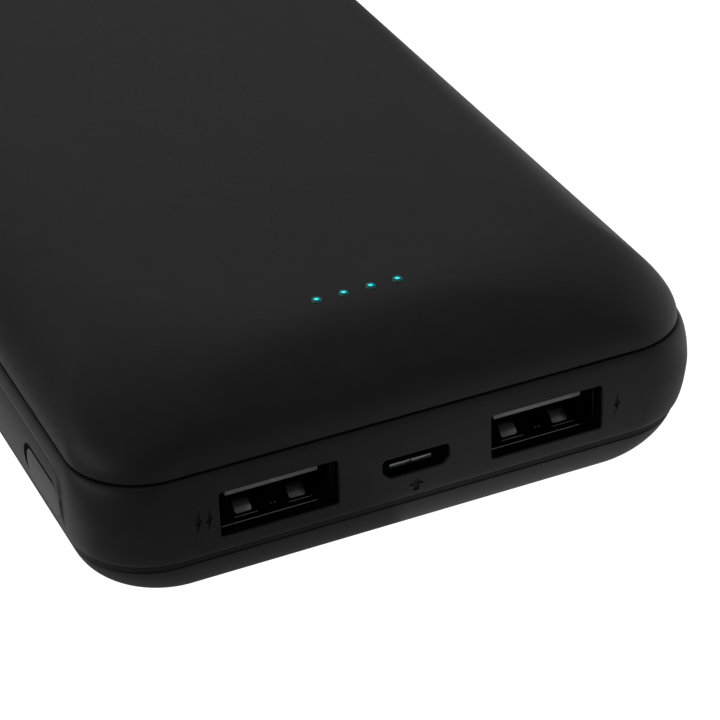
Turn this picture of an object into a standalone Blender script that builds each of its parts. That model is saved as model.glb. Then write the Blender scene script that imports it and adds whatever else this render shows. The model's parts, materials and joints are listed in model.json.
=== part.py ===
"""Power bank of about 20 000 mAh, as an assembly of its real pieces.

Frame: metres, +Z up, origin at the centre of the underside.  The sockets face -Y and the power
button is on the -X side.  Every object is one solid of the assembly, named for what it is.
"""

import math

import bmesh
import bpy
from mathutils import Matrix, Vector

MM = 0.001

# ---------------------------------------------------------------- driving dimensions
LENGTH = 140.0 * MM                 # socket face to the far end
WIDTH = 71.7 * MM                   # over the fullest part of the band
SEAM_Z = 16.25 * MM                 # parting line between top cover and band
BAND_HEIGHT = 10.0 * MM
NECK_HEIGHT = 0.9 * MM              # recessed neck below the band's bulge
EDGE_RISE = 8.0 * MM                # height of the top cover's rounded edge
CROWN = 0.25 * MM                   # how much the top bulges beyond that

BAND_BOTTOM_Z = SEAM_Z - BAND_HEIGHT
NECK_BOTTOM_Z = BAND_BOTTOM_Z - NECK_HEIGHT
BAND_BULGE = 0.78 * MM              # the band stands this far out of the seam line at mid height
BAND_EDGE = 0.15 * MM               # and this far at its lower edge
SEAM_GAP = 0.3 * MM                 # fine gap between top cover and band
CLEAR = 0.3 * MM                    # gap between neighbouring pieces

SEAM_HALF_W = WIDTH / 2 - BAND_BULGE
SEAM_HALF_L = LENGTH / 2 - BAND_BULGE
SEAM_RADIUS = 8.4 * MM
FRONT_Y = -LENGTH / 2

EDGE_DEPTH = 13.0 * MM              # the top cover's edge curves over this width
EDGE_POWER = 2.09                   # superellipse exponent of that curve
CORNER_GROWTH = 0.95                # plan corner radius gained for each millimetre inwards
WALL = 1.6 * MM

FRAME_INSET = 1.3 * MM              # frame's inner face, inside the seam line
LIP_INSET = 1.6 * MM                # lips of both covers, outer face
LIP_INNER = 2.5 * MM                # lips of both covers, inner face
LIP_HEIGHT = 1.85 * MM

BOTTOM_TOP_Z = NECK_BOTTOM_Z - CLEAR             # rim of the bottom cover
BOTTOM_HALF_W = 35.24 * MM          # fullest outline of the lower body, at the band's edge
BOTTOM_HALF_L = 69.11 * MM
BOTTOM_RADIUS = 8.67 * MM
BOTTOM_ROUND = 4.36 * MM            # the lower body's edge curves over this width
BOTTOM_POWER = 1.5                  # superellipse exponent of that curve
BOTTOM_GROWTH = -0.28               # plan corner radius gained for each millimetre inwards

PANEL_X = 35.5 * MM                 # flat thumb panel along each side of the band
PANEL_TOP = 2.05 * MM               # its upper edge, below the seam
PANEL_END = 9.2 * MM                # its end, behind the socket face
PANEL_RADIUS = 2.6 * MM

# sockets, placed from the middle of the socket face
PORT_Z = SEAM_Z - 5.34 * MM
USB_A_X = 15.44 * MM
USB_A_CUT = (13.2 * MM, 5.4 * MM)
USB_A_OPENING = (12.5 * MM, 5.12 * MM)
USB_A_METAL = 0.3 * MM
USB_A_DEPTH = 14.0 * MM
USB_A_BACK = 1.67 * MM              # front edge of the metal shell, behind the socket face
TONGUE_SIZE = (11.1 * MM, 8.6 * MM, 1.84 * MM)
TONGUE_UP = 0.97 * MM               # tongue centre above the socket's centre
TONGUE_BACK = 1.33 * MM             # tongue's front edge behind the metal shell's edge
CONTACT_PITCH = 2.25 * MM
MICRO_Z = PORT_Z - 0.2 * MM
MICRO_CUT = (7.6 * MM, 2.4 * MM, 1.0 * MM)       # width, height, chamfer of the lower corners
MICRO_OPENING = (6.9 * MM, 1.85 * MM, 0.9 * MM)
MICRO_METAL = 0.25 * MM
MICRO_DEPTH = 5.0 * MM
MICRO_BACK = 1.9 * MM

# indicator lights
LED_PITCH = 3.13 * MM
LED_Y = FRONT_Y + 13.9 * MM
LED_HOLE_R = 0.6 * MM
LED_PIPE_R = 0.4 * MM
LED_RECESS = 0.3 * MM

# power button and its switch
BUTTON_Y = FRONT_Y + 15.4 * MM
BUTTON_Z = SEAM_Z - 5.85 * MM
BUTTON_SIZE = (11.0 * MM, 4.2 * MM)              # length and height of the visible pill
BUTTON_GAP = 0.25 * MM
BUTTON_PROUD = 0.2 * MM
FLANGE_EXTRA = 0.7 * MM
FLANGE_THICK = 0.8 * MM
PLUNGER_TIP_X = -31.6 * MM
SWITCH_FACE_X = -30.7 * MM
SWITCH_SIZE = (4.0 * MM, 6.2 * MM, 3.6 * MM)
PLUNGER_R = 0.8 * MM

# main board
BOARD_TOP_Z = PORT_Z - USB_A_OPENING[1] / 2 - USB_A_METAL - CLEAR
BOARD_THICK = 1.2 * MM
BOARD_HALF_W = 31.0 * MM
BOARD_RADIUS = 4.5 * MM
BOARD_Y = (FRONT_Y + 3.7 * MM, FRONT_Y + 21.0 * MM)
SCREW_X = 24.4 * MM
SCREW_Y = BOARD_Y[1] - 3.0 * MM

# pouch cells
CELL_SIZE = (58.0 * MM, 104.7 * MM, 8.7 * MM)
CELL_Y = 7.15 * MM                  # centre of the cells
CELL_EDGE = 3.0 * MM                # roundness of the pouches' edges
CELL_BASE_Z = 2.8 * MM
TAPE_THICK = 0.4 * MM
CELL_UPPER_Z = CELL_BASE_Z + CELL_SIZE[2] + TAPE_THICK + 2 * CLEAR
CELL_FRONT_Y = CELL_Y - CELL_SIZE[1] / 2
TAB_SIZE = (6.0 * MM, 2.2 * MM, 0.2 * MM)
TAB_X = 9.0 * MM
PROTECTION_SIZE = (34.0 * MM, 1.0 * MM, 5.2 * MM)

CORNER_SEGMENTS = 8
EDGE_RINGS = 9


# ---------------------------------------------------------------- scene and materials
def clear_scene():
    for thing in list(bpy.data.objects):
        bpy.data.objects.remove(thing)


def new_collection(name):
    collection = bpy.data.collections.new(name)
    bpy.context.scene.collection.children.link(collection)
    return collection


def make_material(name, colour, roughness, metallic=0.0):
    material = bpy.data.materials.new(name)
    material.use_nodes = True
    shader = material.node_tree.nodes["Principled BSDF"]
    shader.inputs["Base Color"].default_value = (*colour, 1.0)
    shader.inputs["Roughness"].default_value = roughness
    shader.inputs["Metallic"].default_value = metallic
    material.diffuse_color = (*colour, 1.0)
    return material


clear_scene()
PARTS = new_collection("power_bank")
CUTTERS = new_collection("cutters")

SOFT_BLACK = make_material("soft_touch_black", (0.018, 0.018, 0.019), 0.62)
SWITCH_BLACK = make_material("switch_black", (0.02, 0.02, 0.022), 0.4)
STEEL = make_material("socket_steel", (0.55, 0.55, 0.57), 0.3, 1.0)
TONGUE_PLASTIC = make_material("tongue_plastic", (0.03, 0.03, 0.032), 0.45)
GOLD = make_material("contact_gold", (0.83, 0.62, 0.25), 0.25, 1.0)
CLEAR_PLASTIC = make_material("light_guide", (0.75, 0.9, 0.9), 0.15)
LED_GLOW = make_material("led_cyan", (0.0, 0.8, 0.85), 0.3)
BOARD_GREEN = make_material("board_green", (0.02, 0.16, 0.07), 0.45)
CHIP_BLACK = make_material("chip_black", (0.025, 0.025, 0.028), 0.5)
FERRITE = make_material("ferrite", (0.09, 0.09, 0.095), 0.6)
CERAMIC = make_material("ceramic_tan", (0.5, 0.36, 0.22), 0.5)
FOIL = make_material("pouch_foil", (0.62, 0.63, 0.65), 0.35, 1.0)
NICKEL = make_material("nickel", (0.66, 0.63, 0.58), 0.3, 1.0)
TAPE = make_material("cell_tape", (0.78, 0.62, 0.16), 0.4)
FOAM = make_material("foam", (0.06, 0.06, 0.065), 0.9)
INSULATION = make_material("insulation_paper", (0.1, 0.28, 0.2), 0.7)
RED_WIRE = make_material("wire_red", (0.55, 0.02, 0.02), 0.4)
BLACK_WIRE = make_material("wire_black", (0.02, 0.02, 0.02), 0.4)


# ---------------------------------------------------------------- modelling helpers
def add_object(name, mesh, material, collection=None):
    """Puts a mesh into the scene as one named piece."""
    thing = bpy.data.objects.new(name, mesh)
    (collection or PARTS).objects.link(thing)
    if material is not None:
        mesh.materials.append(material)
    return thing


def mesh_from(name, bm):
    bmesh.ops.recalc_face_normals(bm, faces=bm.faces)
    mesh = bpy.data.meshes.new(name)
    bm.to_mesh(mesh)
    bm.free()
    return mesh


def smooth(thing, degrees=35.0):
    thing.data.shade_smooth()
    thing.data.set_sharp_from_angle(angle=math.radians(degrees))


def hide_cutter(thing):
    thing.hide_render = True
    thing.display_type = "WIRE"


def combine(target, tool, operation):
    """Cuts tool out of target, or joins it to target."""
    modifier = target.modifiers.new(operation.lower(), "BOOLEAN")
    modifier.object = tool
    modifier.operation = operation
    modifier.solver = "EXACT"
    return target


def cut(target, *tools):
    for tool in tools:
        combine(target, tool, "DIFFERENCE")
    return target


def join(target, *tools):
    for tool in tools:
        combine(target, tool, "UNION")
    return target


def block(name, size, centre, material=None, bevel=0.0, tool=False):
    """A box with optional rounded edges, centred on a point."""
    bm = bmesh.new()
    bmesh.ops.create_cube(bm, size=1.0)
    bmesh.ops.scale(bm, vec=size, verts=bm.verts)
    thing = add_object(name, mesh_from(name, bm), material, CUTTERS if tool else PARTS)
    thing.location = centre
    if bevel:
        modifier = thing.modifiers.new("bevel", "BEVEL")
        modifier.width = bevel
        modifier.segments = 2
        modifier.limit_method = "ANGLE"
    if tool:
        hide_cutter(thing)
    return thing


def rod(name, radius, length, centre, axis="Z", material=None, segments=16, tool=False):
    """A round bar along one axis, centred on a point."""
    bm = bmesh.new()
    bmesh.ops.create_cone(
        bm, cap_ends=True, segments=segments, radius1=radius, radius2=radius, depth=length
    )
    thing = add_object(name, mesh_from(name, bm), material, CUTTERS if tool else PARTS)
    thing.location = centre
    if axis == "X":
        thing.rotation_euler = (0.0, math.pi / 2, 0.0)
    if axis == "Y":
        thing.rotation_euler = (math.pi / 2, 0.0, 0.0)
    if tool:
        hide_cutter(thing)
    smooth(thing)
    return thing


def prism(name, outline, thickness, centre, facing, material=None, tool=False):
    """A flat outline, filled and given a thickness.

    facing "Z" lays the outline flat, "Y" stands it in the XZ plane and "X" in the YZ plane.
    """
    curve = bpy.data.curves.new(name, "CURVE")
    curve.dimensions = "2D"
    curve.fill_mode = "BOTH"
    curve.extrude = thickness / 2
    spline = curve.splines.new("POLY")
    spline.points.add(len(outline) - 1)
    for point, (u, v) in zip(spline.points, outline):
        point.co = (u, v, 0.0, 1.0)
    spline.use_cyclic_u = True
    guide = bpy.data.objects.new(name + "_outline", curve)
    bpy.context.scene.collection.objects.link(guide)
    turn = Matrix.Identity(4) if facing == "Z" else Matrix.Rotation(math.pi / 2, 4, "X")
    if facing == "X":
        turn = Matrix.Rotation(math.pi / 2, 4, "Z") @ turn
    guide.matrix_world = Matrix.Translation(centre) @ turn
    bpy.context.view_layer.update()
    mesh = bpy.data.meshes.new_from_object(guide.evaluated_get(bpy.context.evaluated_depsgraph_get()))
    bm = bmesh.new()
    bm.from_mesh(mesh)
    bmesh.ops.remove_doubles(bm, verts=bm.verts, dist=0.001 * MM)
    thing = add_object(name, mesh_from(name, bm), material, CUTTERS if tool else PARTS)
    thing.matrix_world = guide.matrix_world
    bpy.data.objects.remove(guide)
    bpy.data.meshes.remove(mesh)
    if tool:
        hide_cutter(thing)
    return thing


def tube(name, points, radius, material):
    """A round wire through the given points."""
    curve = bpy.data.curves.new(name, "CURVE")
    curve.dimensions = "3D"
    curve.bevel_depth = radius
    curve.bevel_resolution = 2
    curve.use_fill_caps = True
    spline = curve.splines.new("POLY")
    spline.points.add(len(points) - 1)
    for point, place in zip(spline.points, points):
        point.co = (*place, 1.0)
    thing = bpy.data.objects.new(name, curve)
    curve.materials.append(material)
    PARTS.objects.link(thing)
    return thing


def bezier_point(start, leaving, arriving, end, share):
    """A point on the cubic curve from start to end with the given handles."""
    rest = 1 - share
    return (
        rest**3 * start
        + 3 * rest**2 * share * leaving
        + 3 * rest * share**2 * arriving
        + share**3 * end
    )


def rounded_outline(half_u, half_v, radius, segments=CORNER_SEGMENTS):
    """Points round a rectangle with rounded corners, anticlockwise from the +u side."""
    radius = max(min(radius, half_u - 0.02 * MM, half_v - 0.02 * MM), 0.05 * MM)
    points = []
    for corner, (su, sv) in enumerate(((1, 1), (-1, 1), (-1, -1), (1, -1))):
        for step in range(segments + 1):
            angle = math.pi / 2 * (corner + step / segments)
            points.append(
                (
                    su * (half_u - radius) + radius * math.cos(angle),
                    sv * (half_v - radius) + radius * math.sin(angle),
                )
            )
    return points


def section(half_w, half_l, radius, z):
    """One level rounded-rectangle section of the housing."""
    return [Vector((u, v, z)) for u, v in rounded_outline(half_w, half_l, radius)]


def seam_section(inset, z, radius=None):
    """A section that lies a distance inside the seam line."""
    if radius is None:
        radius = SEAM_RADIUS - inset
    return section(SEAM_HALF_W - inset, SEAM_HALF_L - inset, radius, z)


def loft(name, sections, material, ring=False):
    """Skins a row of sections.  A ring closes on its first section, and anything else is capped."""
    bm = bmesh.new()
    rows = [[bm.verts.new(point) for point in points] for points in sections]
    count = len(rows[0])
    pairs = list(zip(rows, rows[1:]))
    if ring:
        pairs.append((rows[-1], rows[0]))
    for lower, upper in pairs:
        for i in range(count):
            j = (i + 1) % count
            bm.faces.new((lower[i], lower[j], upper[j], upper[i]))
    if not ring:
        bm.faces.new(rows[0])
        bm.faces.new(rows[-1])
    thing = add_object(name, mesh_from(name, bm), material)
    smooth(thing)
    return thing


# ---------------------------------------------------------------- housing
def edge_curve(share):
    """Inset and rise of the top cover's rounded edge, from the seam (0) to the top (1)."""
    angle = share * math.pi / 2
    inset = EDGE_DEPTH * (1 - math.cos(angle) ** (2 / EDGE_POWER))
    rise = EDGE_RISE * math.sin(angle) ** (2 / EDGE_POWER)
    return inset, rise


def edge_curve_inside(share):
    """The same curve one wall thickness further in."""
    step = 0.01
    before = edge_curve(max(share - step, 0.0))
    after = edge_curve(min(share + step, 1.0))
    along = Vector((after[0] - before[0], after[1] - before[1])).normalized()
    inset, rise = edge_curve(share)
    return inset + WALL * along.y, rise - WALL * along.x


def cover_section(inset, z):
    return seam_section(inset, z, SEAM_RADIUS + CORNER_GROWTH * inset)


def build_top_cover():
    rim_z = SEAM_Z + SEAM_GAP / 2
    lip_z = SEAM_Z - LIP_HEIGHT
    top_z = SEAM_Z + EDGE_RISE
    crown_insets = ((24.0 * MM, 0.75), (34.0 * MM, 1.0))
    sections = [cover_section(inset, top_z + CROWN * part) for inset, part in reversed(crown_insets)]
    for ring in range(EDGE_RINGS, 0, -1):
        inset, rise = edge_curve(ring / EDGE_RINGS)
        sections.append(cover_section(inset, SEAM_Z + max(rise, SEAM_GAP)))
    sections.append(seam_section(0.0, rim_z))
    sections.append(seam_section(LIP_INSET, rim_z))
    sections.append(seam_section(LIP_INSET, lip_z))
    sections.append(seam_section(LIP_INNER, lip_z))
    for ring in range(1, EDGE_RINGS + 1):
        inset, rise = edge_curve_inside(ring / EDGE_RINGS)
        if inset > LIP_INNER:
            sections.append(cover_section(inset, SEAM_Z + rise))
    sections.append(cover_section(crown_insets[-1][0], top_z - WALL + CROWN))
    cover = loft("top_cover", sections, SOFT_BLACK)
    for number, x in enumerate(led_places(), 1):
        centre = (x, LED_Y, top_z)
        cut(cover, rod(f"led_hole_{number}", LED_HOLE_R, 6 * MM, centre, tool=True, segments=12))
    return cover


def band_offset(share):
    """How far the band stands out of the seam line, from its top (0) to its lower edge (1)."""
    rounding = math.sqrt(max(0.0, 1 - (2 * share - 1) ** 2))
    least = 0.0 if share < 0.5 else BAND_EDGE
    return least + (BAND_BULGE - least) * rounding


def lower_section(z):
    """A section of the lower body, which narrows from the band's edge down to the underside."""
    share = 1 - z / BAND_BOTTOM_Z
    inset = BOTTOM_ROUND * (1 - (1 - share**BOTTOM_POWER) ** (1 / BOTTOM_POWER))
    radius = BOTTOM_RADIUS + BOTTOM_GROWTH * inset
    return section(BOTTOM_HALF_W - inset, BOTTOM_HALF_L - inset, radius, z)


def build_middle_frame():
    top_z = SEAM_Z - SEAM_GAP / 2
    rows = 8
    sections = []
    for row in range(rows + 1):
        share = row / rows
        z = top_z + (BAND_BOTTOM_Z - top_z) * share
        sections.append(seam_section(-band_offset(share), z, SEAM_RADIUS))
    sections.append(lower_section(BAND_BOTTOM_Z))
    sections.append(lower_section(NECK_BOTTOM_Z))
    sections.append(seam_section(FRAME_INSET, NECK_BOTTOM_Z))
    sections.append(seam_section(FRAME_INSET, top_z))
    frame = loft("middle_frame", sections, SOFT_BLACK, ring=True)

    panel_height = BAND_HEIGHT - PANEL_TOP + 2 * PANEL_RADIUS
    outline = rounded_outline(LENGTH / 2 - PANEL_END, panel_height / 2, PANEL_RADIUS)
    panel_z = SEAM_Z - PANEL_TOP - panel_height / 2
    for name, side in (("left", -1), ("right", 1)):
        centre = (side * (PANEL_X + 1.5 * MM), 0.0, panel_z)
        cut(frame, prism(f"panel_cutter_{name}", outline, 3.0 * MM, centre, "X", tool=True))

    wall_y = FRONT_Y + 1.0 * MM
    seat_depth = 4.0 * MM
    for name, x in (("left", -USB_A_X), ("right", USB_A_X)):
        size = (USB_A_CUT[0], 8 * MM, USB_A_CUT[1])
        cut(frame, block(f"usb_a_cutter_{name}", size, (x, wall_y, PORT_Z), tool=True))
        seat = [side + 2 * (USB_A_METAL + CLEAR) for side in USB_A_OPENING]
        seat_y = FRONT_Y + USB_A_BACK - CLEAR + seat_depth / 2
        seat_size = (seat[0], seat_depth, seat[1])
        cut(frame, block(f"usb_a_seat_{name}", seat_size, (x, seat_y, PORT_Z), tool=True))
    slot = micro_outline(*MICRO_CUT)
    cut(frame, prism("micro_usb_cutter", slot, 8 * MM, (0, wall_y, MICRO_Z), "Y", tool=True))
    seat = [side + 2 * (MICRO_METAL + CLEAR) for side in MICRO_OPENING[:2]]
    seat_y = FRONT_Y + MICRO_BACK - CLEAR + seat_depth / 2
    cut(frame, block("micro_usb_seat", (seat[0], seat_depth, seat[1]), (0, seat_y, MICRO_Z), tool=True))
    opening = pill(BUTTON_GAP)
    centre = (-PANEL_X, BUTTON_Y, BUTTON_Z)
    cut(frame, prism("button_opening", opening, 8 * MM, centre, "X", tool=True))
    return frame


def build_bottom_cover():
    lip_z = BAND_BOTTOM_Z + 0.65 * MM
    floor_round = 3.4 * MM
    sections = []
    for ring in range(7):
        angle = ring / 6 * math.pi / 2
        sections.append(lower_section(BOTTOM_TOP_Z * (1 - math.cos(angle))))
    sections.append(seam_section(LIP_INSET, BOTTOM_TOP_Z))
    sections.append(seam_section(LIP_INSET, lip_z))
    sections.append(seam_section(LIP_INNER, lip_z))
    for ring in range(6):
        angle = ring / 5 * math.pi / 2
        inset = LIP_INNER + floor_round * (1 - math.cos(angle))
        z = WALL + floor_round * (1 - math.sin(angle))
        sections.append(seam_section(inset, z))
    cover = loft("bottom_cover", sections, SOFT_BLACK)
    boss_top = BOARD_TOP_Z - BOARD_THICK - CLEAR
    for name, side in (("left", -1), ("right", 1)):
        centre = (side * SCREW_X, SCREW_Y, boss_top / 2 + WALL / 4)
        boss = rod(f"boss_{name}", 2.2 * MM, boss_top - WALL / 2, centre, tool=True)
        hole_centre = (side * SCREW_X, SCREW_Y, boss_top)
        hole = rod(f"boss_hole_{name}", 1.1 * MM, 6.4 * MM, hole_centre, tool=True)
        join(cover, boss)
        cut(cover, hole)
    return cover


# ---------------------------------------------------------------- lights
def led_places():
    return [(number - 1.5) * LED_PITCH for number in range(4)]


def build_light_guide():
    """Four light pipes on one bar, moulded in clear plastic."""
    top_z = SEAM_Z + EDGE_RISE - LED_RECESS
    bar_z = SEAM_Z + EDGE_RISE - WALL - 1.6 * MM
    foot_z = BOARD_TOP_Z + 1.6 * MM
    guide = block(
        "light_guide", (4 * LED_PITCH, 2.4 * MM, 1.4 * MM), (0.0, LED_Y, bar_z), CLEAR_PLASTIC
    )
    for number, x in enumerate(led_places(), 1):
        centre = (x, LED_Y, (top_z + foot_z) / 2)
        join(guide, rod(f"pipe_{number}", LED_PIPE_R, top_z - foot_z, centre, tool=True, segments=12))
    return guide


def build_leds():
    for number, x in enumerate(led_places(), 1):
        centre = (x, LED_Y, BOARD_TOP_Z + CLEAR + 0.4 * MM)
        block(f"led_{number}", (1.6 * MM, 0.8 * MM, 0.7 * MM), centre, LED_GLOW)


# ---------------------------------------------------------------- sockets
def micro_outline(width, height, chamfer):
    """The micro-USB shape: a wide slot whose two lower corners are cut off."""
    half_w, half_h = width / 2, height / 2
    return [
        (half_w, half_h),
        (-half_w, half_h),
        (-half_w, -half_h + chamfer),
        (-half_w + chamfer, -half_h),
        (half_w - chamfer, -half_h),
        (half_w, -half_h + chamfer),
    ]


def build_usb_a(name, x):
    """One USB-A socket: metal shell, plastic tongue and its four contacts."""
    width, height = USB_A_OPENING
    outer = (width + 2 * USB_A_METAL, USB_A_DEPTH, height + 2 * USB_A_METAL)
    edge_y = FRONT_Y + USB_A_BACK
    shell = block(f"{name}_shell", outer, (x, edge_y + USB_A_DEPTH / 2, PORT_Z), STEEL)
    inner = (width, USB_A_DEPTH, height)
    inner_y = edge_y + USB_A_DEPTH / 2 - 2.5 * MM
    cut(shell, block(f"{name}_shell_cutter", inner, (x, inner_y, PORT_Z), tool=True))

    tongue_y = edge_y + TONGUE_BACK + TONGUE_SIZE[1] / 2
    tongue_z = PORT_Z + TONGUE_UP
    block(f"{name}_tongue", TONGUE_SIZE, (x, tongue_y, tongue_z), TONGUE_PLASTIC, 0.15 * MM)
    contact_z = tongue_z - TONGUE_SIZE[2] / 2 - 0.25 * MM
    for number in range(4):
        offset = (number - 1.5) * CONTACT_PITCH
        centre = (x + offset, tongue_y + 0.4 * MM, contact_z)
        block(f"{name}_contact_{number + 1}", (1.0 * MM, 6.4 * MM, 0.25 * MM), centre, GOLD)


def build_micro_usb():
    """The micro-USB socket: chamfered metal shell, thin tongue and five contacts."""
    width, height, chamfer = MICRO_OPENING
    edge_y = FRONT_Y + MICRO_BACK
    middle_y = edge_y + MICRO_DEPTH / 2
    outer = micro_outline(width + 2 * MICRO_METAL, height + 2 * MICRO_METAL, chamfer)
    shell = prism("micro_usb_shell", outer, MICRO_DEPTH, (0, middle_y, MICRO_Z), "Y", STEEL)
    inner_y = middle_y - 0.4 * MM
    inner = micro_outline(width, height, chamfer)
    cut(shell, prism("micro_shell_cutter", inner, MICRO_DEPTH, (0, inner_y, MICRO_Z), "Y", tool=True))
    tongue_z = MICRO_Z + 0.3 * MM
    tongue_y = edge_y + 0.8 * MM + 1.7 * MM
    block("micro_usb_tongue", (3.9 * MM, 3.2 * MM, 0.6 * MM), (0, tongue_y, tongue_z), TONGUE_PLASTIC)
    for number in range(5):
        centre = ((number - 2) * 0.65 * MM, tongue_y, tongue_z - 0.5 * MM)
        block(f"micro_usb_contact_{number + 1}", (0.35 * MM, 2.6 * MM, 0.15 * MM), centre, GOLD)


# ---------------------------------------------------------------- button and switch
def pill(extra):
    """Outline of the button, larger all round by extra."""
    half_u = BUTTON_SIZE[0] / 2 + extra
    half_v = BUTTON_SIZE[1] / 2 + extra
    return rounded_outline(half_u, half_v, half_v)


def build_button():
    """The power button: its face, the flange that keeps it in, and the post that works the switch."""
    face_x = -PANEL_X - BUTTON_PROUD
    wall_x = -(SEAM_HALF_W - FRAME_INSET)
    flange_x = wall_x + CLEAR
    depth = flange_x + FLANGE_THICK / 2 - face_x
    centre = (face_x + depth / 2, BUTTON_Y, BUTTON_Z)
    button = prism("power_button", pill(0.0), depth, centre, "X", SOFT_BLACK)
    flange_centre = (flange_x + FLANGE_THICK / 2, BUTTON_Y, BUTTON_Z)
    join(button, prism("button_flange", pill(FLANGE_EXTRA), FLANGE_THICK, flange_centre, "X", tool=True))
    post_end = PLUNGER_TIP_X - CLEAR
    post_centre = ((flange_x + post_end) / 2, BUTTON_Y, BUTTON_Z)
    join(button, rod("button_post", 1.0 * MM, post_end - flange_x, post_centre, "X", tool=True))
    return button


def build_switch():
    """Side switch on the board's edge, and the plunger that the button pushes."""
    base_z = BOARD_TOP_Z + CLEAR
    centre = (SWITCH_FACE_X + SWITCH_SIZE[0] / 2, BUTTON_Y, base_z + SWITCH_SIZE[2] / 2)
    body = block("switch_body", SWITCH_SIZE, centre, SWITCH_BLACK, 0.2 * MM)
    bore_centre = (SWITCH_FACE_X, BUTTON_Y, BUTTON_Z)
    cut(body, rod("plunger_bore", PLUNGER_R + 0.2 * MM, 3.0 * MM, bore_centre, "X", tool=True))
    length = SWITCH_FACE_X + 0.9 * MM - PLUNGER_TIP_X
    plunger_centre = (PLUNGER_TIP_X + length / 2, BUTTON_Y, BUTTON_Z)
    return rod("switch_plunger", PLUNGER_R, length, plunger_centre, "X", SWITCH_BLACK)


# ---------------------------------------------------------------- main board
def build_board():
    """The main board with the parts that show on it, its screws and the sheet under it."""
    depth = BOARD_Y[1] - BOARD_Y[0]
    middle_y = (BOARD_Y[0] + BOARD_Y[1]) / 2
    board_z = BOARD_TOP_Z - BOARD_THICK / 2
    outline = rounded_outline(BOARD_HALF_W, depth / 2, BOARD_RADIUS)
    board = prism("main_board", outline, BOARD_THICK, (0.0, middle_y, board_z), "Z", BOARD_GREEN)
    sheet_z = board_z - BOARD_THICK / 2 - CLEAR - 0.15 * MM
    sheet_size = (2 * (SCREW_X - 4 * MM), depth - 4 * MM, 0.3 * MM)
    block("insulation_sheet", sheet_size, (0.0, middle_y, sheet_z), INSULATION)
    for name, side in (("left", -1), ("right", 1)):
        x = side * SCREW_X
        cut(board, rod(f"board_hole_{name}", 1.2 * MM, 4 * MM, (x, SCREW_Y, board_z), tool=True))
        head_z = BOARD_TOP_Z + CLEAR + 0.6 * MM
        screw = rod(f"board_screw_{name}", 1.9 * MM, 1.2 * MM, (x, SCREW_Y, head_z), "Z", STEEL)
        shank = rod(
            f"screw_shank_{name}", 0.8 * MM, 4.4 * MM, (x, SCREW_Y, head_z - 2.2 * MM), tool=True
        )
        slot_centre = (x, SCREW_Y, head_z + 0.6 * MM)
        join(screw, shank)
        cut(screw, block(f"screw_slot_{name}", (2.6 * MM, 0.5 * MM, 0.8 * MM), slot_centre, tool=True))

    base = BOARD_TOP_Z + CLEAR
    back_y = BOARD_Y[1] - 3.4 * MM
    place_y = FRONT_Y + 8.8 * MM
    block("controller_chip", (5 * MM, 5 * MM, 0.9 * MM), (0, back_y, base + 0.45 * MM), CHIP_BLACK, 0.1 * MM)
    block("power_inductor", (7 * MM, 5 * MM, 4 * MM), (25.8 * MM, place_y, base + 2 * MM), FERRITE, 0.6 * MM)
    for number, x in enumerate((-5.6 * MM, 5.6 * MM), 1):
        centre = (x, back_y, base + 0.8 * MM)
        block(f"capacitor_{number}", (3.2 * MM, 1.8 * MM, 1.6 * MM), centre, CERAMIC, 0.1 * MM)
    for number, x in enumerate((-11.6 * MM, 11.6 * MM), 1):
        centre = (x, BOARD_Y[1] - 2.3 * MM, base + 0.5 * MM)
        block(f"power_transistor_{number}", (3.0 * MM, 3.0 * MM, 1.0 * MM), centre, CHIP_BLACK)


# ---------------------------------------------------------------- cells
def build_cells():
    """Two pouch cells with the tape between them and the foam that packs them."""
    width, length, height = CELL_SIZE
    for name, base_z in (("cell_lower", CELL_BASE_Z), ("cell_upper", CELL_UPPER_Z)):
        block(name, CELL_SIZE, (0.0, CELL_Y, base_z + height / 2), FOIL, CELL_EDGE)
    tape_z = CELL_BASE_Z + height + CLEAR + TAPE_THICK / 2
    block("cell_tape", (40 * MM, 80 * MM, TAPE_THICK), (0.0, CELL_Y, tape_z), TAPE)
    pad = (44 * MM, 90 * MM, 0.6 * MM)
    block("bottom_foam_pad", pad, (0.0, CELL_Y, CELL_BASE_Z - CLEAR - 0.3 * MM), FOAM)
    block("top_foam_pad", pad, (0.0, CELL_Y, CELL_UPPER_Z + height + CLEAR + 0.3 * MM), FOAM)
    rear_size = (44 * MM, 5.4 * MM, 9.0 * MM)
    rear_centre = (0.0, CELL_Y + length / 2 + CLEAR + rear_size[1] / 2, 11.0 * MM)
    block("rear_foam_block", rear_size, rear_centre, FOAM, 0.4 * MM)

    board_y = CELL_FRONT_Y - TAB_SIZE[1] - CLEAR - PROTECTION_SIZE[1] / 2
    board_z = CELL_BASE_Z + height
    block("protection_board", PROTECTION_SIZE, (0.0, board_y, board_z), BOARD_GREEN)
    for cell, z in (("lower", board_z - 1.4 * MM), ("upper", board_z + 1.8 * MM)):
        for pole, side in (("positive", 1), ("negative", -1)):
            centre = (side * TAB_X, CELL_FRONT_Y - TAB_SIZE[1] / 2, z)
            block(f"{cell}_tab_{pole}", (TAB_SIZE[0], TAB_SIZE[1] - 0.4 * MM, TAB_SIZE[2]), centre, NICKEL)

    for name, side, material in (("positive", 1, RED_WIRE), ("negative", -1, BLACK_WIRE)):
        start = Vector((side * 14 * MM, board_y - PROTECTION_SIZE[1] / 2 - CLEAR, board_z + 1.4 * MM))
        end = Vector((side * 17 * MM, BOARD_Y[1] - 1.9 * MM, BOARD_TOP_Z + CLEAR))
        leaving = start - Vector((0.0, 2.4 * MM, 0.0))
        arriving = end + Vector((0.0, 0.0, 2.6 * MM))
        points = [bezier_point(start, leaving, arriving, end, step / 10) for step in range(11)]
        tube(f"lead_{name}", points, 0.7 * MM, material)


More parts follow.
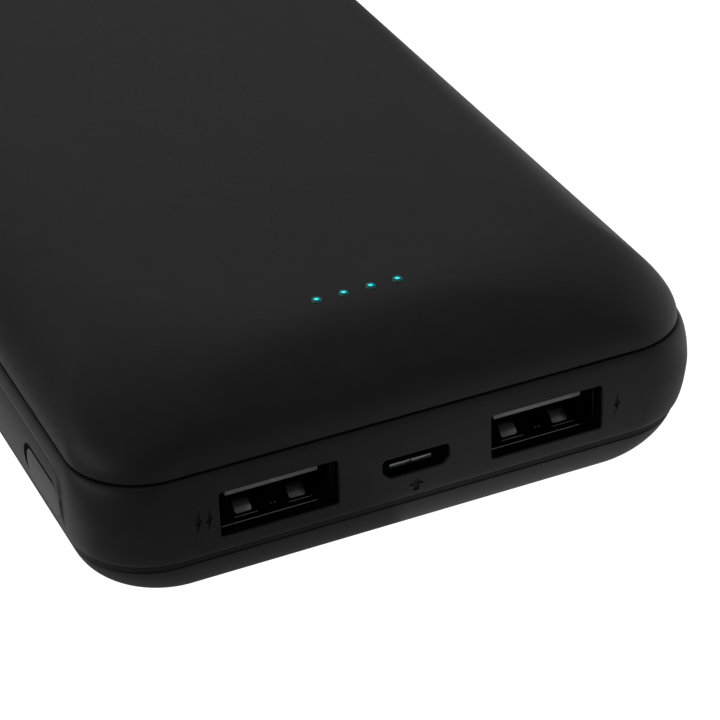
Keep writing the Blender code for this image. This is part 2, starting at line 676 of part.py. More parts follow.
build_top_cover()
build_middle_frame()
build_bottom_cover()
build_light_guide()
build_leds()
build_usb_a("usb_a_left", -USB_A_X)
build_usb_a("usb_a_right", USB_A_X)
build_micro_usb()
build_button()
build_switch()
build_board()
build_cells()
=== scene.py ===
"""Looks of a power bank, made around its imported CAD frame.

The housing is rebuilt as fine closed shells with real sockets, a thumb panel on each side, debossed
marks and four indicator lights.  Lengths are metres in the frame's own axes: +Z up, the sockets on -Y
and the power button on -X.
"""

import json
import math

import bmesh
import bpy
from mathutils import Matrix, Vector


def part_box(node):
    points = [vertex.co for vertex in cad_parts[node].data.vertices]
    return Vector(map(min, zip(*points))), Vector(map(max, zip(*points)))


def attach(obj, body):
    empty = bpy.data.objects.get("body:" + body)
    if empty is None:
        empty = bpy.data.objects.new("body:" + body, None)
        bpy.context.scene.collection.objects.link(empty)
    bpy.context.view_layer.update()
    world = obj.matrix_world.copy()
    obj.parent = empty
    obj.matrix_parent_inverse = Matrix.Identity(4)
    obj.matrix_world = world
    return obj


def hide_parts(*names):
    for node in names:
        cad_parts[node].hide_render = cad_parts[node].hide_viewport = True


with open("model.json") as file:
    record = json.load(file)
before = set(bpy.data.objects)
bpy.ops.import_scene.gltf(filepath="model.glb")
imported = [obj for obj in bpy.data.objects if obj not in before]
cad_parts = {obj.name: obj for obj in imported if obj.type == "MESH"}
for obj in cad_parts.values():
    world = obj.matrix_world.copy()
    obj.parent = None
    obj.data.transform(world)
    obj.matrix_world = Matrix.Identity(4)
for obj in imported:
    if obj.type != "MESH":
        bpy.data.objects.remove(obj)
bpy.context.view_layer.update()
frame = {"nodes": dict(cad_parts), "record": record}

MM = 0.001

# ---------------------------------------------------------------- sizes read from the frame
BAND_LOW, BAND_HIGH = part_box("middle_frame")
COVER_LOW, COVER_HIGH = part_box("top_cover")
BUTTON_LOW, BUTTON_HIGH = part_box("power_button")

SEAM_HALF_W = COVER_HIGH.x
SEAM_HALF_L = COVER_HIGH.y
SEAM_RADIUS = 8.4 * MM
SEAM_Z = BAND_HIGH.z + 0.15 * MM
BAND_BOTTOM_Z = SEAM_Z - 10.0 * MM
BULGE = BAND_HIGH.x - SEAM_HALF_W       # the band stands this far out at mid height
FRONT_Y = BAND_LOW.y

# ---------------------------------------------------------------- sizes of the fine surfaces
SEAM_HALF_GAP = 0.11 * MM
RIM_FILLET = 0.14 * MM
CORNER_STEPS = 24
QUARTERS = (0.25, 0.5, 0.75)            # extra points along the straight sides of plain outlines

EDGE_DEPTH = 13.0 * MM                  # the cover's edge curves over this width
EDGE_RISE = 8.0 * MM
EDGE_POWER = 2.09
EDGE_ROWS = 36
CORNER_GROWTH = 0.95
CROWN = COVER_HIGH.z - SEAM_Z - EDGE_RISE
CROWN_WIDTH = 35.0 * MM
CROWN_ROWS = 9
CROWN_INSET = 31.0 * MM                 # the cover is flat further in than this
WALL = 1.6 * MM
LIP_INSET = 1.6 * MM
LIP_INNER = 2.5 * MM
LIP_BOTTOM_Z = COVER_LOW.z

BAND_ROWS = 96
BAND_FULL_Z = SEAM_Z - 4.85 * MM        # the band is widest at this height
BAND_RADIUS = 8.0 * MM                  # and has this plan corner radius there
BAND_EDGE = 0.15 * MM                   # it stands this far out at its lower edge
BAND_EDGE_RADIUS = 9.0 * MM             # with this plan corner radius
BAND_EDGE_FILLET = 0.16 * MM
BAND_INNER = 1.3 * MM                   # inner face, inside the seam line
PANEL_X = 35.64 * MM                    # flat thumb panel on each side
PANEL_TOP_Z = SEAM_Z - 1.8 * MM
PANEL_END_Y = -FRONT_Y - 9.5 * MM
PANEL_RADIUS = 2.6 * MM
PANEL_EDGE = 0.26 * MM                  # width of the step round the panel
PANEL_RIDGE = 0.012 * MM                # height of the soft ridge on that step
PANEL_FILLET = 0.3 * MM                 # rounds the panel's lower edge
PANEL_FINE = 0.13 * MM                  # spacing of the points where the panel ends

NECK_BOTTOM_Z = SEAM_Z - 10.93 * MM     # recessed neck between the bulge and the base
NECK_SINK = 0.32 * MM
BASE_TOP_Z = SEAM_Z - 11.08 * MM
BODY_HALF_W = SEAM_HALF_W + 0.17 * MM   # fullest outline of neck and base
BODY_HALF_L = SEAM_HALF_L - 0.11 * MM
BODY_RADIUS = 8.67 * MM
BODY_ROUND = 4.36 * MM                  # they curve in over this width, down to the underside
BODY_POWER = 1.5
BODY_GROWTH = -0.28
BASE_ROWS = 26
BASE_LIP_INSET = 1.45 * MM
BASE_LIP_INNER = 2.4 * MM
BASE_FLOOR = 1.6 * MM
BASE_LIP_TOP_Z = BAND_BOTTOM_Z + 0.5 * MM

SOCKET_SIDES = ("left", "right")
USB_A_CUT = (13.2 * MM, 5.4 * MM)
USB_A_CUT_RADIUS = 0.3 * MM
USB_A_METAL = 0.3 * MM
MOUTH_FILLET = 0.18 * MM                # softens the edge of the USB-A mouths
MOUTH_DEPTH = 4.5 * MM
WINDOW_SIZE = (2.7 * MM, 6.02 * MM)     # openings in a USB-A floor, across and along
WINDOW_BACK = 0.98 * MM                 # behind the shell's front edge
WINDOW_XS = (-2.95 * MM, 3.2 * MM)
SPRING_XS = (-2.9 * MM, 3.2 * MM)
SPRING_WIDTH = 1.9 * MM
SPRING_METAL = 0.14 * MM
SPRING_TIP = 0.82                       # share of its width that is left at its tip
BUMP_XS = (0.2 * MM, 0.62 * MM)
# lit stretch of the USB-A shell's front edge, where a strip of bright steel paints the highlight
FRONT_HIGHLIGHT_XS = (-6.0 * MM, 4.7 * MM)
SHEET_MARGIN = 0.4 * MM                 # insulator under each USB-A shell, inside its outline

MICRO_CUT = (7.7 * MM, 2.35 * MM)
MICRO_CHAMFER = 0.8 * MM
MICRO_CORNER = 0.5 * MM
MICRO_MOUTH_FILLET = 0.2 * MM
MICRO_METAL = 0.22 * MM
MICRO_SHELL_CHAMFER = 1.05 * MM
MICRO_SHELL_CORNER = 0.35 * MM
MICRO_LIP_HALF_W = 2.45 * MM
MICRO_LIP_SPLIT = 0.05 * MM             # gap between the two halves of the front lip
MICRO_LIP_LENGTH = 0.35 * MM
SEAT_CLEARANCE = 0.3 * MM
SEAT_DEPTH = 4.0 * MM

BUTTON_FLANGE = 0.7 * MM
BUTTON_FLANGE_METAL = 0.8 * MM
BUTTON_GAP = 0.14 * MM
BUTTON_MOUTH_FILLET = 0.1 * MM
BUTTON_PROUD = 0.26 * MM                # the rim of its domed face stands this far out of the panel
BUTTON_DOME = 0.07 * MM
BUTTON_FILLET_STEPS = 8
BUTTON_UPPER = (0.3 * MM, 0.24 * MM)    # how much smaller than the opening, and its edge fillet
BUTTON_LOWER = (-0.11 * MM, 0.12 * MM)

LED_HOLE_R = 0.62 * MM
LED_COUNTERSINK = 0.05 * MM
LED_CORE_R = 0.30 * MM
LED_CORE_RISE = 0.14 * MM               # the top of the cores stands this far out of the cover
LED_CORE_DOME = 0.10 * MM
LED_CORE_LENGTH = 0.28 * MM             # this far into the cover
LED_COLLAR_R = 0.60 * MM
LED_COLLAR_RISE = 0.16 * MM
LED_SOCKET_DEPTH = 0.3 * MM
LED_BAR_HEIGHT = 1.0 * MM

BOLT_HEIGHT = 3.0 * MM
BOLT_XS = {                             # places of the bolts, from the middle of the nearest socket
    "left": (-9.05 * MM, -7.85 * MM),
    "right": (8.35 * MM,),
}
ARROW_SIZE = (1.9 * MM, 1.6 * MM)
ARROW_Z = SEAM_Z - 8.45 * MM
MARK_DEPTH = 0.14 * MM
CUT_OVERRUN = 0.8 * MM                  # how far cutters stand out of the face that they cut
FLUSH = 0.02 * MM                       # hairline gap where two pieces meet

# ---------------------------------------------------------------- mesh helpers
def mesh_object(name, points, faces, material):
    """A closed body from points and faces, with its normals turned outwards."""
    mesh = bpy.data.meshes.new(name)
    mesh.from_pydata([tuple(point) for point in points], [], faces)
    bm = bmesh.new()
    bm.from_mesh(mesh)
    bmesh.ops.recalc_face_normals(bm, faces=bm.faces)
    bm.to_mesh(mesh)
    bm.free()
    piece = bpy.data.objects.new(name, mesh)
    bpy.context.scene.collection.objects.link(piece)
    if material is not None:
        mesh.materials.append(material)
    return piece


def skin(name, rows, material=None, loop=False):
    """Joins rows of points into one closed body: a loop of rows, or a row of them capped at both ends."""
    count = len(rows[0])
    total = len(rows)
    faces = []
    for row in range(total if loop else total - 1):
        here = row * count
        after = (row + 1) % total * count
        for i in range(count):
            j = (i + 1) % count
            faces.append((here + i, here + j, after + j, after + i))
    if not loop:
        faces.append(tuple(range(count)))
        faces.append(tuple(range((total - 1) * count, total * count)))
    return mesh_object(name, [point for row in rows for point in row], faces, material)


def turned(name, profile, centre, material, steps=32):
    """A turned solid from a profile of (radius, height) pairs, standing on a point."""
    angles = [math.tau * step / steps for step in range(steps)]
    rows = []
    for radius, height in profile:
        row = []
        for angle in angles:
            row.append(Vector(centre) + Vector((radius * math.cos(angle), radius * math.sin(angle), height)))
        rows.append(row)
    return skin(name, rows, material)


def finish_mesh(piece):
    """Replaces a piece's mesh by what its modifiers make of it."""
    graph = bpy.context.evaluated_depsgraph_get()
    made = bpy.data.meshes.new_from_object(piece.evaluated_get(graph))
    piece.modifiers.clear()
    piece.data = made
    made.name = piece.name
    return piece


def carve(piece, *cutters):
    """Cuts each cutter out of a piece, with the cutter's materials on the new faces, and removes it."""
    for cutter in cutters:
        modifier = piece.modifiers.new("carve", "BOOLEAN")
        modifier.object = cutter
        modifier.operation = "DIFFERENCE"
        modifier.solver = "EXACT"
        modifier.material_mode = "TRANSFER"
    finish_mesh(piece)
    for cutter in cutters:
        bpy.data.objects.remove(cutter)
    return piece


def rounded_edges(piece, width, segments=3, angle=40.0):
    modifier = piece.modifiers.new("bevel", "BEVEL")
    modifier.width = width
    modifier.segments = segments
    modifier.limit_method = "ANGLE"
    modifier.angle_limit = math.radians(angle)
    return finish_mesh(piece)


def shade(piece, degrees=32.0):
    piece.data.shade_smooth()
    piece.data.set_sharp_from_angle(angle=math.radians(degrees))
    return piece


def block(name, low, high, material=None):
    """A box between two corners."""
    rows = [
        [(low[0], low[1], z), (high[0], low[1], z), (high[0], high[1], z), (low[0], high[1], z)]
        for z in (low[2], high[2])
    ]
    return skin(name, rows, material)


# ---------------------------------------------------------------- outlines
def ring(half_w, half_l, radius, z, long_shares, short_shares):
    """Level points round a rounded rectangle, anticlockwise from its +X side.

    The shares are the places of extra points along each long and short straight side.
    """
    radius = min(radius, half_w - FLUSH, half_l - FLUSH)
    points = []
    for number, (sx, sy) in enumerate(((1, 1), (-1, 1), (-1, -1), (1, -1))):
        centre = Vector((sx * (half_w - radius), sy * (half_l - radius), z))
        for step in range(CORNER_STEPS + 1):
            angle = math.pi / 2 * (number + step / CORNER_STEPS)
            points.append(centre + radius * Vector((math.cos(angle), math.sin(angle), 0.0)))
        start = points[-1]
        turn = math.pi / 2 * (number + 2)
        along = Vector((math.cos(turn), math.sin(turn), 0.0))
        length = 2 * ((half_l if number % 2 else half_w) - radius)
        for share in long_shares if number % 2 else short_shares:
            points.append(start + along * length * share)
    return points


def rounded(corners, steps=6):
    """Points round a convex outline whose corners (u, v, radius) are rounded, anticlockwise."""
    points = []
    for i, (u, v, radius) in enumerate(corners):
        here = Vector((u, v))
        back = (Vector(corners[i - 1][:2]) - here).normalized()
        ahead = (Vector(corners[(i + 1) % len(corners)][:2]) - here).normalized()
        half = back.angle(ahead) / 2
        centre = here + (back + ahead).normalized() * (radius / math.sin(half))
        start = here + back * (radius / math.tan(half)) - centre
        first = math.atan2(start.y, start.x)
        sweep = math.pi - 2 * half
        for step in range(steps + 1):
            angle = first + sweep * step / steps
            points.append(centre + radius * Vector((math.cos(angle), math.sin(angle))))
    return points


def rectangle(width, height, radius, steps=6):
    u, v = width / 2, height / 2
    return rounded([(-u, -v, radius), (u, -v, radius), (u, v, radius), (-u, v, radius)], steps)


def micro_outline(width, height, chamfer, radius):
    """A micro-USB outline: a slot whose two lower corners are cut off."""
    u, v = width / 2, height / 2
    corners = [
        (-u + chamfer, -v), (u - chamfer, -v), (u, -v + chamfer),
        (u, v), (-u, v), (-u, -v + chamfer),
    ]
    return rounded([(*corner, radius) for corner in corners], 4)


def grow(outline, distance):
    """The outline moved outwards by a distance."""
    grown = []
    for i, here in enumerate(outline):
        here = Vector(here)
        before = (here - Vector(outline[i - 1])).normalized()
        after = (Vector(outline[(i + 1) % len(outline)]) - here).normalized()
        normal = Vector((before.y + after.y, -before.x - after.x)).normalized()
        lean = max(normal.dot(Vector((before.y, -before.x))), 0.5)
        grown.append(here + normal * distance / lean)
    return grown


# ---------------------------------------------------------------- the housing's surfaces
def edge_curve(share):
    """Inset and rise of the cover's rounded edge, from the seam (0) to the top (1)."""
    angle = share * math.pi / 2
    inset = EDGE_DEPTH * (1 - max(math.cos(angle), 0.0) ** (2 / EDGE_POWER))
    rise = EDGE_RISE * math.sin(angle) ** (2 / EDGE_POWER)
    return inset, rise


def crown(inset):
    return CROWN * (1 - (1 - min(inset / CROWN_WIDTH, 1.0)) ** 2)


def cover_height(inset):
    """Height of the cover's outer surface at a distance inside the seam line."""
    share = min(inset / EDGE_DEPTH, 1.0)
    rise = EDGE_RISE * (1 - (1 - share) ** EDGE_POWER) ** (1 / EDGE_POWER)
    return SEAM_Z + rise + crown(inset)


def band_offset(z):
    """How far the band stands out of the seam line at a height."""
    top = SEAM_Z - SEAM_HALF_GAP
    if z > BAND_FULL_Z:
        share, least = (z - BAND_FULL_Z) / (top - BAND_FULL_Z), 0.0
    else:
        share, least = (BAND_FULL_Z - z) / (BAND_FULL_Z - BAND_BOTTOM_Z), BAND_EDGE
    offset = least + (BULGE - least) * math.sqrt(max(0.0, 1 - share**2))
    low = max(BAND_EDGE_FILLET - (z - BAND_BOTTOM_Z), 0.0)
    return offset - (BAND_EDGE_FILLET - math.sqrt(BAND_EDGE_FILLET**2 - low**2))


def front_surface(z):
    return -(SEAM_HALF_L + band_offset(z))


def smooth_step(value):
    value = min(max(value, 0.0), 1.0)
    return value * value * (3 - 2 * value)


def panel_share(y, z):
    """1 on the thumb panel and 0 off it, then 1 on the ridge along its edge and 0 off that; the ridge share
    also places the painted highlight.
    """
    if abs(y) > PANEL_END_Y + 2 * PANEL_EDGE:
        return 0.0, 0.0
    along = abs(y) - (PANEL_END_Y - PANEL_RADIUS)
    up = z - (PANEL_TOP_Z - PANEL_RADIUS)
    outside = math.hypot(max(along, 0.0), max(up, 0.0))
    distance = outside + min(max(along, up), 0.0) - PANEL_RADIUS
    return smooth_step(0.5 - distance / PANEL_EDGE), math.exp(-((distance / PANEL_EDGE * 2.4) ** 2))


# ---------------------------------------------------------------- materials
NOISE_LOW, NOISE_HIGH = 0.3, 0.7        # nearly all of a noise's values lie between these


def new_material(name):
    material = bpy.data.materials.new(name)
    material.use_nodes = True
    nodes = material.node_tree.nodes
    return material, nodes, material.node_tree.links, nodes["Principled BSDF"]


def noise_node(nodes, links, scale, detail=4.0, roughness=0.55, stretch=(1.0, 1.0, 1.0)):
    """Noise fixed to the piece: scale is in features per metre."""
    place = nodes.new("ShaderNodeTexCoord")
    mapping = nodes.new("ShaderNodeMapping")
    mapping.inputs["Scale"].default_value = stretch
    noise = nodes.new("ShaderNodeTexNoise")
    noise.inputs["Scale"].default_value = scale
    noise.inputs["Detail"].default_value = detail
    noise.inputs["Roughness"].default_value = roughness
    links.new(place.outputs["Object"], mapping.inputs["Vector"])
    links.new(mapping.outputs["Vector"], noise.inputs["Vector"])
    return noise


def ranged(nodes, links, source, low, high):
    """Spreads the middle of a noise's range over low to high."""
    span = nodes.new("ShaderNodeMapRange")
    span.inputs["From Min"].default_value = NOISE_LOW
    span.inputs["From Max"].default_value = NOISE_HIGH
    span.inputs["To Min"].default_value = low
    span.inputs["To Max"].default_value = high
    links.new(source, span.inputs["Value"])
    return span.outputs["Result"]


def toned(nodes, links, source, dark, light):
    """Spreads the middle of a noise's range over two colours."""
    ramp = nodes.new("ShaderNodeValToRGB")
    ramp.color_ramp.elements[0].position = NOISE_LOW
    ramp.color_ramp.elements[0].color = (*dark, 1.0)
    ramp.color_ramp.elements[1].position = NOISE_HIGH
    ramp.color_ramp.elements[1].color = (*light, 1.0)
    links.new(source, ramp.inputs["Fac"])
    return ramp.outputs["Color"]


def finish_material(
    name, dark, light, roughness, metallic=0.0, specular=0.5, tone_scale=120.0, grain_scale=2600.0,
    grain_depth=0.006 * MM, stretch=(1.0, 1.0, 1.0), sheen=0.0, coat=0.0,
):
    """A surface whose tone wanders between two colours, with fine grain in its gloss and its relief."""
    material, nodes, links, shader = new_material(name)
    tone = noise_node(nodes, links, tone_scale, stretch=stretch)
    grain = noise_node(nodes, links, grain_scale, detail=5.0, roughness=0.65, stretch=stretch)
    links.new(toned(nodes, links, tone.outputs["Fac"], dark, light), shader.inputs["Base Color"])
    links.new(
        ranged(nodes, links, grain.outputs["Fac"], roughness[0], roughness[1]),
        shader.inputs["Roughness"],
    )
    relief = nodes.new("ShaderNodeBump")
    relief.inputs["Distance"].default_value = grain_depth
    relief.inputs["Strength"].default_value = 1.0
    links.new(grain.outputs["Fac"], relief.inputs["Height"])
    links.new(relief.outputs["Normal"], shader.inputs["Normal"])
    shader.inputs["Metallic"].default_value = metallic
    shader.inputs["Specular IOR Level"].default_value = specular
    if sheen:
        shader.inputs["Sheen Weight"].default_value = sheen
        shader.inputs["Sheen Roughness"].default_value = 0.5
    if coat:
        shader.inputs["Coat Weight"].default_value = coat
        shader.inputs["Coat Roughness"].default_value = 0.25
    return material


def glow_material(name, deep, bright, strength):
    """Lit plastic: light of a slightly uneven colour from inside the piece."""
    material, nodes, links, shader = new_material(name)
    tone = noise_node(nodes, links, 900.0, detail=2.0)
    colour = toned(nodes, links, tone.outputs["Fac"], deep, bright)
    links.new(colour, shader.inputs["Base Color"])
    links.new(colour, shader.inputs["Emission Color"])
    links.new(ranged(nodes, links, tone.outputs["Fac"], 0.12, 0.22), shader.inputs["Roughness"])
    shader.inputs["Emission Strength"].default_value = strength
    return material


SOFT_TOUCH = finish_material(
    "soft_touch_black", (0.0085, 0.0085, 0.0087), (0.0120, 0.0120, 0.0122), (0.46, 0.58),
    specular=0.30, tone_scale=260.0, grain_scale=5200.0, grain_depth=0.010 * MM,
)
# Near-black: the own colour of the USB-A insulator sheets and the micro-USB tongue, and painted shade on the
# walls of the socket mouths, the button opening and the button cap's upper side
BLACK_AND_PAINTED_SHADE = finish_material(
    "black_and_painted_shade", (0.0008, 0.0008, 0.0008), (0.0016, 0.0016, 0.0016), (0.7, 0.85), specular=0.05,
)
# Painted shade: a black a little darker than the housing, in the debossed marks and on the outer end of the
# button cap's upper fillet
PAINTED_SHADE_SOFT = finish_material(
    "painted_shade_soft", (0.0050, 0.0050, 0.0050), (0.0068, 0.0068, 0.0068), (0.55, 0.65), specular=0.2,
)
# Painted highlight: a brighter, glossier black on the faces along the thumb panels' edge, standing in for a
# glint
PANEL_EDGE_HIGHLIGHT = finish_material(
    "panel_edge_painted_highlight", (0.0260, 0.0260, 0.0265), (0.0330, 0.0330, 0.0335), (0.34, 0.44), specular=0.5,
)
BUTTON_BLACK = finish_material(
    "button_black", (0.0095, 0.0095, 0.0097), (0.0130, 0.0130, 0.0132), (0.40, 0.50),
    specular=0.35, tone_scale=300.0, grain_scale=5200.0, grain_depth=0.006 * MM,
)
STEEL = finish_material(
    "socket_steel", (0.22, 0.22, 0.225), (0.34, 0.34, 0.345), (0.28, 0.42), metallic=1.0,
    tone_scale=900.0, grain_scale=3000.0, grain_depth=0.003 * MM, stretch=(1.0, 0.12, 1.0),
)
LIP_STEEL = finish_material(
    "lip_steel", (0.50, 0.50, 0.51), (0.66, 0.66, 0.67), (0.3, 0.42), metallic=1.0, tone_scale=900.0,
    grain_scale=3000.0, grain_depth=0.003 * MM,
)
# Painted shade: steel darkened to near black for the socket shells, whose insides lie in shade
CAN_STEEL_SHADED = finish_material(
    "can_steel_painted_shade", (0.010, 0.010, 0.010), (0.018, 0.018, 0.018), (0.34, 0.5), metallic=1.0,
    tone_scale=900.0, grain_scale=3000.0, grain_depth=0.003 * MM, stretch=(1.0, 0.12, 1.0),
)
TONGUE = finish_material(
    "tongue_plastic", (0.26, 0.26, 0.265), (0.36, 0.36, 0.365), (0.38, 0.5),
    tone_scale=700.0, grain_scale=4000.0, grain_depth=0.004 * MM,
)
GOLD = finish_material(
    "contact_gold", (0.72, 0.50, 0.18), (0.86, 0.64, 0.28), (0.18, 0.3), metallic=1.0,
    tone_scale=1500.0, grain_scale=6000.0, grain_depth=0.002 * MM, stretch=(1.0, 0.15, 1.0),
)
GUIDE_CORE = glow_material("light_guide_core", (0.0, 0.76, 0.80), (0.02, 0.95, 0.92), 1.0)
GUIDE_COLLAR = glow_material("light_guide_collar", (0.003, 0.034, 0.034), (0.006, 0.052, 0.051), 0.8)
GUIDE_CLEAR = finish_material(
    "light_guide_clear", (0.55, 0.72, 0.72), (0.68, 0.82, 0.82), (0.1, 0.2), tone_scale=400.0,
)
LED_CYAN = glow_material("led_cyan", (0.0, 0.35, 0.40), (0.0, 0.60, 0.62), 1.5)
SWITCH_BLACK = finish_material("switch_black", (0.014, 0.014, 0.016), (0.024, 0.024, 0.026), (0.3, 0.45))
BOARD_GREEN = finish_material(
    "board_green", (0.008, 0.085, 0.035), (0.018, 0.150, 0.062), (0.28, 0.42),
    tone_scale=500.0, grain_scale=1800.0, grain_depth=0.02 * MM, coat=0.4,
)
CHIP_BLACK = finish_material("chip_black", (0.016, 0.016, 0.018), (0.030, 0.030, 0.032), (0.42, 0.6))
FERRITE = finish_material(
    "ferrite", (0.050, 0.050, 0.055), (0.105, 0.105, 0.112), (0.5, 0.7), grain_depth=0.02 * MM,
)
CERAMIC = finish_material("ceramic_tan", (0.38, 0.26, 0.15), (0.56, 0.42, 0.27), (0.38, 0.52))
FOIL = finish_material(
    "pouch_foil", (0.50, 0.51, 0.53), (0.70, 0.71, 0.73), (0.26, 0.42), metallic=1.0,
    tone_scale=90.0, grain_scale=700.0, grain_depth=0.05 * MM,
)
NICKEL = finish_material(
    "nickel", (0.55, 0.52, 0.47), (0.72, 0.69, 0.63), (0.2, 0.36), metallic=1.0,
    tone_scale=600.0, stretch=(0.2, 1.0, 1.0),
)
SCREW_STEEL = finish_material(
    "screw_steel", (0.42, 0.42, 0.44), (0.60, 0.60, 0.62), (0.25, 0.4), metallic=1.0, tone_scale=1200.0,
)
CELL_TAPE = finish_material(
    "cell_tape", (0.62, 0.47, 0.09), (0.83, 0.67, 0.20), (0.3, 0.45), tone_scale=200.0,
)
FOAM = finish_material(
    "foam", (0.035, 0.035, 0.038), (0.075, 0.075, 0.080), (0.85, 0.95),
    tone_scale=900.0, grain_scale=1500.0, grain_depth=0.12 * MM, sheen=0.2,
)
INSULATION = finish_material(
    "insulation_paper", (0.07, 0.21, 0.15), (0.12, 0.32, 0.23), (0.6, 0.75), grain_depth=0.02 * MM,
)
WIRE_RED = finish_material("wire_red", (0.42, 0.012, 0.012), (0.60, 0.03, 0.03), (0.3, 0.45))
WIRE_BLACK = finish_material("wire_black", (0.012, 0.012, 0.013), (0.026, 0.026, 0.028), (0.3, 0.45))


# ---------------------------------------------------------------- placing pieces
def install(piece, body, slot, *nodes):
    """Makes a piece ride on a body and stand for the CAD nodes it was made from."""
    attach(piece, body)
    if nodes:
        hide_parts(*nodes)
    return piece


def install_small(piece, bevel, slot, *nodes):
    """Rounds the edges of a small part of the housing and installs it."""
    rounded_edges(piece, bevel)
    shade(piece)
    return install(piece, "housing", slot, *nodes)


def middle(node):
    """The middle of a node's box, across and up."""
    low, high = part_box(node)
    return (low.x + high.x) / 2, (low.z + high.z) / 2


# ---------------------------------------------------------------- top cover
def cover_ring(inset, z, radius=None):
    if radius is None:
        radius = SEAM_RADIUS + CORNER_GROWTH * inset
    return ring(SEAM_HALF_W - inset, SEAM_HALF_L - inset, radius, z, QUARTERS, QUARTERS)


def led_centres():
    """Where each indicator light meets the cover's surface."""
    centres = []
    for number in range(1, 5):
        low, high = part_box(f"led_{number}")
        x, y = (low.x + high.x) / 2, (low.y + high.y) / 2
        centres.append(Vector((x, y, cover_height(SEAM_HALF_L - abs(y)))))
    return centres


def build_top_cover():
    rim_z = SEAM_Z + SEAM_HALF_GAP
    rows = []
    for row in range(CROWN_ROWS, 0, -1):
        inset = EDGE_DEPTH + (CROWN_INSET - EDGE_DEPTH) * row / CROWN_ROWS
        rows.append(cover_ring(inset, cover_height(inset)))
    for row in range(EDGE_ROWS, 0, -1):
        inset, rise = edge_curve(row / EDGE_ROWS)
        if rise > SEAM_HALF_GAP + RIM_FILLET:
            rows.append(cover_ring(inset, SEAM_Z + rise + crown(inset)))
    for step in range(4):
        angle = math.pi / 2 * step / 3
        inset = RIM_FILLET * (1 - math.cos(angle))
        rows.append(cover_ring(inset, rim_z + RIM_FILLET * (1 - math.sin(angle)), SEAM_RADIUS - inset))
    rows.append(cover_ring(LIP_INSET, rim_z, SEAM_RADIUS - LIP_INSET))
    rows.append(cover_ring(LIP_INSET, LIP_BOTTOM_Z, SEAM_RADIUS - LIP_INSET))
    rows.append(cover_ring(LIP_INNER, LIP_BOTTOM_Z, SEAM_RADIUS - LIP_INNER))
    for row in range(2, EDGE_ROWS + 1, 2):
        inset, rise = edge_curve(row / EDGE_ROWS)
        inset += WALL * math.cos(row / EDGE_ROWS * math.pi / 2)
        rise -= WALL * math.sin(row / EDGE_ROWS * math.pi / 2)
        if inset > LIP_INNER and rise > 0:
            rows.append(cover_ring(inset, SEAM_Z + rise))
    rows.append(cover_ring(CROWN_INSET, cover_height(CROWN_INSET) - WALL))
    cover = skin("cover_shell", rows, SOFT_TOUCH)
    drill_profile = [
        (LED_HOLE_R, -4 * MM),
        (LED_HOLE_R, -LED_COUNTERSINK),
        (LED_HOLE_R + LED_COUNTERSINK, 0.0),
        (LED_HOLE_R + 3 * LED_COUNTERSINK, 2 * LED_COUNTERSINK),
    ]
    drills = []
    for number, centre in enumerate(led_centres(), 1):
        drills.append(turned(f"led_drill_{number}", drill_profile, centre, None, steps=40))
    carve(cover, *drills)
    shade(cover)
    return install(cover, "housing", "soft_touch_black", "top_cover")


# ---------------------------------------------------------------- band
def long_side_shares():
    """Places along the band's long sides, close together where the thumb panel ends."""
    straight = SEAM_HALF_L - SEAM_RADIUS
    reach = PANEL_RADIUS + 1.6 * MM
    start = min(PANEL_END_Y + 0.3 * MM, straight - PANEL_FINE)
    fine_ys = [start - PANEL_FINE * step for step in range(int(reach / PANEL_FINE) + 1)]
    coarse_ys = [fine_ys[-1] * (1 - step / 12) for step in range(1, 12)]
    half = fine_ys + coarse_ys
    ys = [-y for y in half] + [0.0] + half[::-1]
    return [(y + straight) / (2 * straight) for y in sorted(ys)]


def band_rows():
    """Rows round the band: down its outer face and neck, then up its inner face."""
    longs = long_side_shares()
    shorts = [step / 24 for step in range(1, 24)]
    top = SEAM_Z - SEAM_HALF_GAP
    flat = PANEL_X - SEAM_HALF_W
    heights = [
        top - (top - BAND_BOTTOM_Z) * (1 - math.cos(math.pi * row / BAND_ROWS)) / 2
        for row in range(BAND_ROWS + 1)
    ]
    heights += [PANEL_TOP_Z + step * 0.03 * MM for step in range(-9, 10)]
    rows = []
    for z in sorted(heights, reverse=True):
        offset = band_offset(z)
        if z > BAND_FULL_Z:
            radius = SEAM_RADIUS + (BAND_RADIUS - SEAM_RADIUS) * offset / BULGE
        else:
            down = (BAND_FULL_Z - z) / (BAND_FULL_Z - BAND_BOTTOM_Z)
            radius = BAND_RADIUS + (BAND_EDGE_RADIUS - BAND_RADIUS) * down
        low = max(PANEL_FILLET - (z - BAND_BOTTOM_Z), 0.0)
        panel = flat - (PANEL_FILLET - math.sqrt(PANEL_FILLET**2 - low**2))
        points = ring(SEAM_HALF_W + offset, SEAM_HALF_L + offset, radius, z, longs, shorts)
        for point in points:
            share, ridge = panel_share(point.y, z)
            sink = min(panel - offset, 0.0) * share
            point.x += math.copysign(sink + ridge * PANEL_RIDGE, point.x)
        rows.append(points)
    rows.append(body_ring(BAND_BOTTOM_Z, longs, shorts, NECK_SINK))
    rows.append(body_ring(NECK_BOTTOM_Z + FLUSH, longs, shorts))
    rows.append(body_ring(NECK_BOTTOM_Z, longs, shorts, FLUSH))
    inner = (SEAM_HALF_W - BAND_INNER, SEAM_HALF_L - BAND_INNER, SEAM_RADIUS - BAND_INNER)
    for z in (NECK_BOTTOM_Z, top):
        rows.append(ring(*inner, z, longs, shorts))
    return rows


def body_ring(z, longs, shorts, extra=0.0):
    """Outline of the neck and base, which curve inwards down to the underside."""
    share = (BAND_BOTTOM_Z - z) / BAND_BOTTOM_Z
    inset = BODY_ROUND * (1 - (1 - share**BODY_POWER) ** (1 / BODY_POWER)) + extra
    radius = BODY_RADIUS + BODY_GROWTH * inset
    return ring(BODY_HALF_W - inset, BODY_HALF_L - inset, radius, z, longs, shorts)


